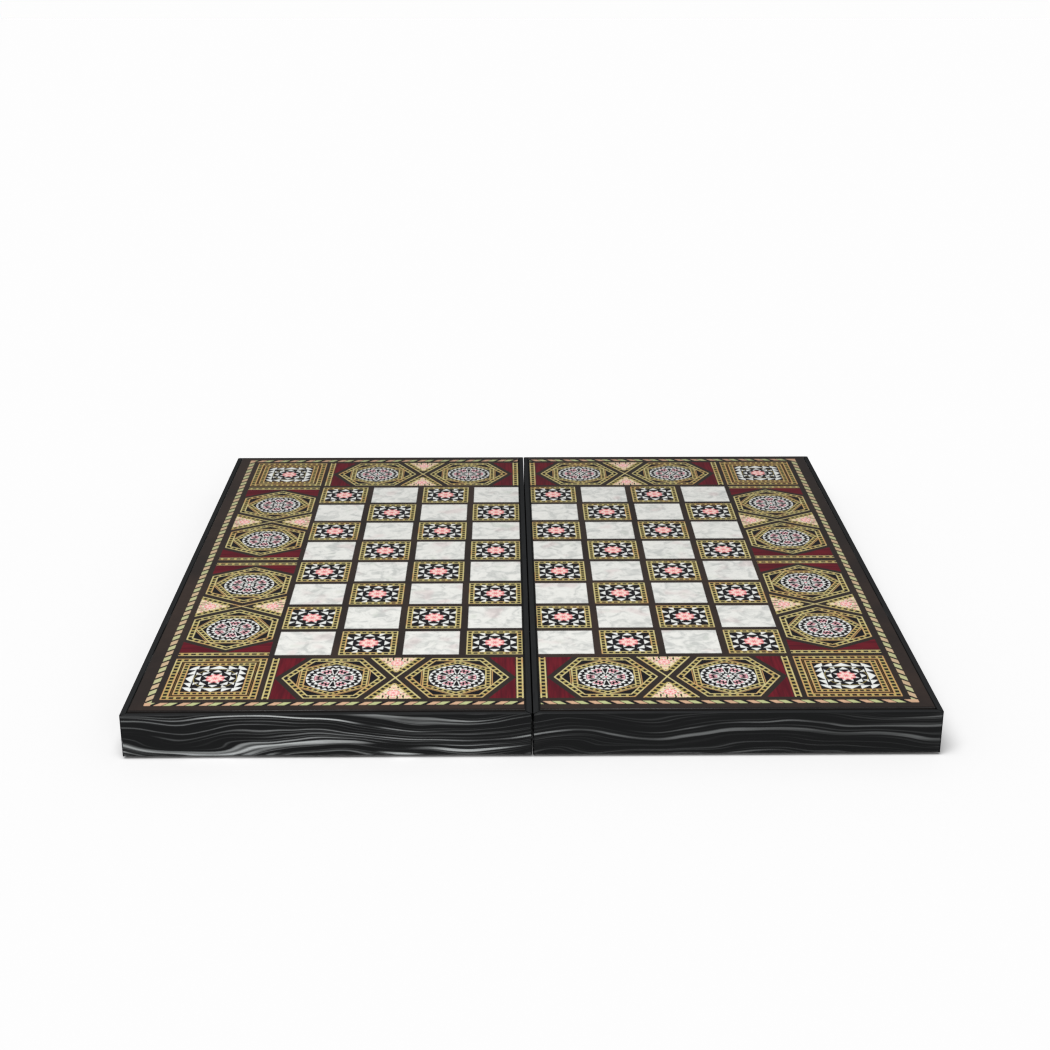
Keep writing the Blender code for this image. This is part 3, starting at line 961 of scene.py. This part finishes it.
class CASE_OT_hinges(bpy.types.Operator):
    """Finishes the hinge leaves in brushed brass and builds the pins with domed ends"""

    bl_idname = "case.hinges"
    bl_label = "Hinges"

    edge: size_property("Edge", "Rounding of a leaf's edges", 0.15 * MM)

    def execute(self, context):
        settings = context.scene.case_hardware
        brass = metal_finish("hinge_brass", settings.brass[:], 0.3, "y")
        steel = metal_finish("pin_steel", settings.steel[:], 0.25, "y")
        for end in ("front", "rear"):
            for side in SIDES:
                node = f"{end}_hinge_{side}_leaf"
                obj = softened(node, f"{node}_brass", f"{side}_tray", brass, self.edge)
            self.pin(end, steel)
        return {"FINISHED"}

    def pin(self, end, steel):
        """A turned pin whose ends are domed: each end is a quarter ellipse as deep as half the radius."""
        node = f"{end}_hinge_pin"
        low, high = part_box(node)
        radius = (high.x - low.x) / 2
        half = (high.y - low.y) / 2
        turn = np.linspace(0, np.pi / 2, 7)
        dome = np.stack([radius * np.sin(turn), half - radius / 2 * (1 - np.cos(turn))], axis=-1)
        profile = np.concatenate([dome, dome[::-1] * (1, -1)])
        mesh = turned(f"{node}_turned", profile, (low + high) / 2, "y")
        mesh.materials.append(steel)
        obj = new_object(f"{node}_turned", mesh, "right_tray", node)


class CASE_OT_screws(bpy.types.Operator):
    """Builds the slotted countersunk screws"""

    bl_idname = "case.screws"
    bl_label = "Screws"

    def execute(self, context):
        settings = context.scene.case_hardware
        brass = metal_finish("screw_brass", settings.brass[:], 0.28, "x")
        for node in sorted(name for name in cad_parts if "screw" in name):
            side = "right" if "right" in node else "left"
            obj = self.screw(node, f"{side}_tray", settings.slot)
            obj.data.materials.append(brass)
        return {"FINISHED"}

    def screw(self, node, body, width):
        """A head, a neck and a threaded shank: the thread is a row of ridges on the turned profile."""
        low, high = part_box(node)
        centre = (low + high) / 2
        head = (high.x - low.x) / 2
        length = high.z - low.z
        shank, cone, dish = 1.0 * MM, 0.8 * MM, 0.05 * MM
        turns = 9
        ridge = np.arange(turns)
        start = cone + 0.9 * MM
        pitch = 0.7 * MM
        crests = np.stack([np.full(turns, shank), start + (ridge + 0.5) * pitch], axis=-1)
        roots = np.stack([np.full(turns, shank * 0.78), start + ridge * pitch], axis=-1)
        thread = np.stack([roots, crests], axis=1).reshape(-1, 2)
        profile = [(0, 0), (head - dish, 0), (head, dish), (shank, cone), (shank, start - 0.1 * MM)]
        profile += thread.tolist() + [(shank * 0.7, start + turns * pitch), (0, length)]
        mesh = turned(f"{node}_turned", profile, (centre.x, centre.y, low.z), "z")
        obj = new_object(f"{node}_turned", mesh, body, node)
        turn = centre.x * 9000 + centre.y * 5000  # each slot stands at its own angle
        cut_slot(obj, (centre.x, centre.y, low.z), (3 * head, width, 0.9 * MM), turn)
        return obj


def cut_slot(obj, centre, size, turn):
    """Cuts a straight slot into a screw's head with an applied Boolean."""
    bm = bmesh.new()
    place = Matrix.Translation(centre) @ Matrix.Rotation(turn, 4, "Z") @ Matrix.Diagonal((*size, 1))
    bmesh.ops.create_cube(bm, size=1, matrix=place)
    mesh = bpy.data.meshes.new("slot_cutter")
    bm.to_mesh(mesh)
    bm.free()
    cutter = bpy.data.objects.new("slot_cutter", mesh)
    bpy.context.scene.collection.objects.link(cutter)
    slot = obj.modifiers.new("slot", "BOOLEAN")
    slot.object = cutter
    graph = bpy.context.evaluated_depsgraph_get()
    made = bpy.data.meshes.new_from_object(obj.evaluated_get(graph))
    obj.modifiers.clear()
    made.name = obj.name
    obj.data = made
    made.shade_smooth()
    made.set_sharp_from_angle(angle=math.radians(35))
    bpy.data.objects.remove(cutter)
    bpy.data.meshes.remove(mesh)


class CASE_OT_magnets(bpy.types.Operator):
    """Finishes the closure magnets in nickel with rounded rims"""

    bl_idname = "case.magnets"
    bl_label = "Magnets"

    edge: size_property("Edge", "Rounding of a magnet's rim", 0.2 * MM)

    def execute(self, context):
        nickel = metal_finish("magnet_nickel", context.scene.case_hardware.nickel[:], 0.22, "z")
        for node in sorted(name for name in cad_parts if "magnet" in name):
            side = "right" if "right" in node else "left"
            obj = softened(node, f"{node}_nickel", f"{side}_tray", nickel, self.edge)
        return {"FINISHED"}


class CASE_OT_stage(bpy.types.Operator):
    """Lays the pale floor and sets the soft lights and the camera"""

    bl_idname = "case.stage"
    bl_label = "Stage"

    def execute(self, context):
        settings = context.scene.case_stage
        self.floor(settings)
        self.world(context.scene)
        self.lights(settings)
        self.camera(context.scene, settings)
        context.scene.view_settings.view_transform = "Standard"
        return {"FINISHED"}

    def floor(self, settings):
        half = 6.0
        mesh = bpy.data.meshes.new("floor")
        corners = [(-half, -half, 0), (half, -half, 0), (half, half, 0), (-half, half, 0)]
        mesh.from_pydata(corners, [], [(0, 1, 2, 3)])
        paint = Paint("floor_paint", 0.9)
        paint.colour(settings.floor[:])
        below = paint.node("ShaderNodeNewGeometry").outputs["Backfacing"]
        clear = paint.node("ShaderNodeBsdfTransparent").outputs[0]
        shown = paint.node("ShaderNodeMixShader", inputs={0: below, 1: paint.shader.outputs[0], 2: clear})
        output = paint.tree.nodes["Material Output"]
        paint.tree.links.new(shown.outputs[0], output.inputs["Surface"])
        mesh.materials.append(paint.material)
        floor = bpy.data.objects.new("floor", mesh)
        bpy.context.scene.collection.objects.link(floor)
        floor.is_shadow_catcher = True

    def world(self, scene):
        """White to the eye, a soft grey fill for what it lights, and darker still in reflections."""
        world = bpy.data.worlds.new("studio")
        scene.world = world
        world.use_nodes = True
        tree = world.node_tree
        back = tree.nodes["Background"]
        back.inputs["Color"].default_value = (1, 1, 1, 1)
        path = tree.nodes.new("ShaderNodeLightPath")
        level = tree.nodes.new("ShaderNodeMapRange")
        level.inputs["To Min"].default_value = 0.2
        level.inputs["To Max"].default_value = 0.985
        tree.links.new(path.outputs["Is Camera Ray"], level.inputs["Value"])
        shine = tree.nodes.new("ShaderNodeMix")
        shine.inputs["B"].default_value = 0.1
        tree.links.new(path.outputs["Is Glossy Ray"], shine.inputs["Factor"])
        tree.links.new(level.outputs[0], shine.inputs["A"])
        tree.links.new(shine.outputs[0], back.inputs["Strength"])

    def lights(self, settings):
        for name, place, size, power in (
            ("overhead", (-0.25, -0.75, 1.7), 1.2, settings.key),
            ("front_fill", (0.5, -2.4, 0.9), 1.2, settings.key * 0.3),
        ):
            light = bpy.data.lights.new(name, "AREA")
            light.size = size
            light.energy = power
            obj = bpy.data.objects.new(name, light)
            obj.location = place
            obj.rotation_euler = (-Vector(place)).to_track_quat("-Z", "Y").to_euler()
            bpy.context.scene.collection.objects.link(obj)

    def camera(self, scene, settings):
        """The camera stands a little left of the middle and looks down on the case from the front."""
        data = bpy.data.cameras.new("camera")
        data.lens = settings.lens
        data.sensor_width = 36
        obj = bpy.data.objects.new("camera", data)
        yaw, pitch, roll = math.radians(0.726), math.radians(20.61), math.radians(0.05)
        ahead = Vector(
            (math.sin(yaw) * math.cos(pitch), math.cos(yaw) * math.cos(pitch), -math.sin(pitch))
        )
        obj.location = (-0.0164, -1.1665, 0.4979)
        turn = ahead.to_track_quat("-Z", "Y").to_matrix() @ Matrix.Rotation(roll, 3, "Z")
        obj.rotation_euler = turn.to_euler()
        scene.collection.objects.link(obj)
        scene.camera = obj


class CASE_PT_panel(bpy.types.Panel):
    """Lists the case's settings and its operators"""

    bl_idname = "CASE_PT_panel"
    bl_label = "Backgammon case"
    bl_space_type = "VIEW_3D"
    bl_region_type = "UI"
    bl_category = "Case"

    def draw(self, context):
        for name, group in SETTINGS.items():
            column = self.layout.column(align=True)
            column.label(text=group.__doc__)
            for key in group.__annotations__:
                column.prop(getattr(context.scene, name), key)
        for operator in OPERATORS:
            self.layout.operator(operator.bl_idname)


SETTINGS = {
    "case_print": PrintSettings,
    "case_frame": FrameSettings,
    "case_hardware": HardwareSettings,
    "case_stage": StageSettings,
}
OPERATORS = (
    CASE_OT_rails,
    CASE_OT_boards,
    CASE_OT_hinges,
    CASE_OT_screws,
    CASE_OT_magnets,
    CASE_OT_stage,
)


def register():
    for name, group in SETTINGS.items():
        bpy.utils.register_class(group)
        setattr(bpy.types.Scene, name, bpy.props.PointerProperty(type=group))
    for made in (*OPERATORS, CASE_PT_panel):
        bpy.utils.register_class(made)


def unregister():
    for made in (CASE_PT_panel, *reversed(OPERATORS)):
        bpy.utils.unregister_class(made)
    for name, group in SETTINGS.items():
        delattr(bpy.types.Scene, name)
        bpy.utils.unregister_class(group)


def main():
    register()
    for operator in (
        bpy.ops.case.rails,
        bpy.ops.case.boards,
        bpy.ops.case.hinges,
        bpy.ops.case.screws,
        bpy.ops.case.magnets,
        bpy.ops.case.stage,
    ):
        operator()


if __name__ == "__main__":
    main()
